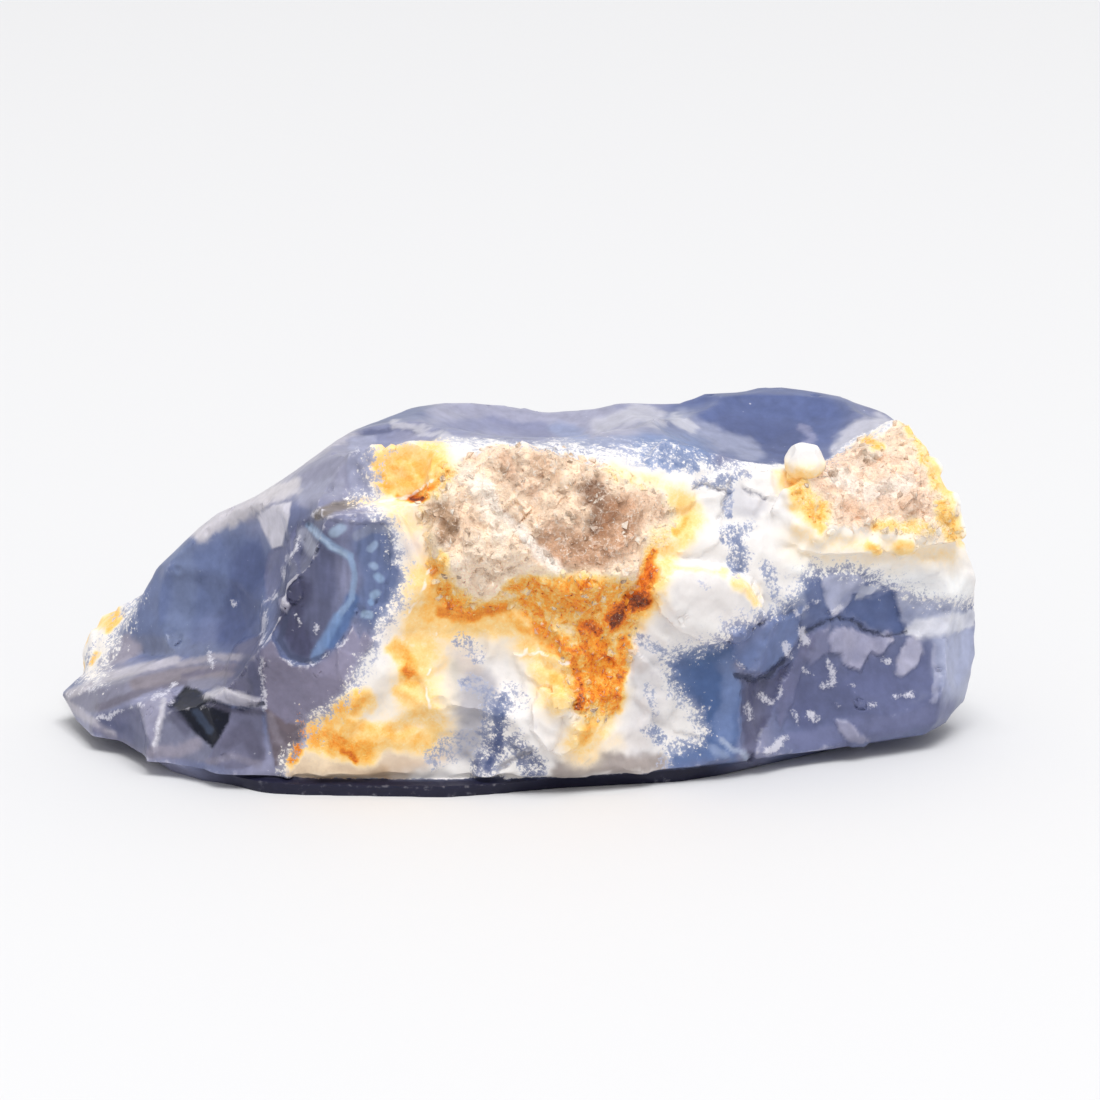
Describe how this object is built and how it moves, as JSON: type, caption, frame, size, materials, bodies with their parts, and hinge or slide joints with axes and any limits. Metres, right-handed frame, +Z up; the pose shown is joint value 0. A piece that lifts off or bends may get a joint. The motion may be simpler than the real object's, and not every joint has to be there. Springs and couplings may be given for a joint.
{
  "type": "rough blue chalcedony specimen",
  "caption": "Rough, unpolished lump of blue chalcedony with shell-shaped breaks and a front crust of iron-stained granular quartz, lying on its flat underside.",
  "frame": {"origin": "middle of the bounding box's underside, on the surface that the stone lies on", "axes": "+X along the stone's length, from its low thin end to its blunt end; +Z up; -Y out of the quartz-crusted front"},
  "size_m": [0.0485, 0.0216, 0.0184],
  "materials": {
    "stone": "waxy to glassy on fresh breaks, frosted white and rusty orange where the quartz crust shows"
  },
  "bodies": {
    "root": {"agate_stone": "stone"}
  },
  "joints": []
}
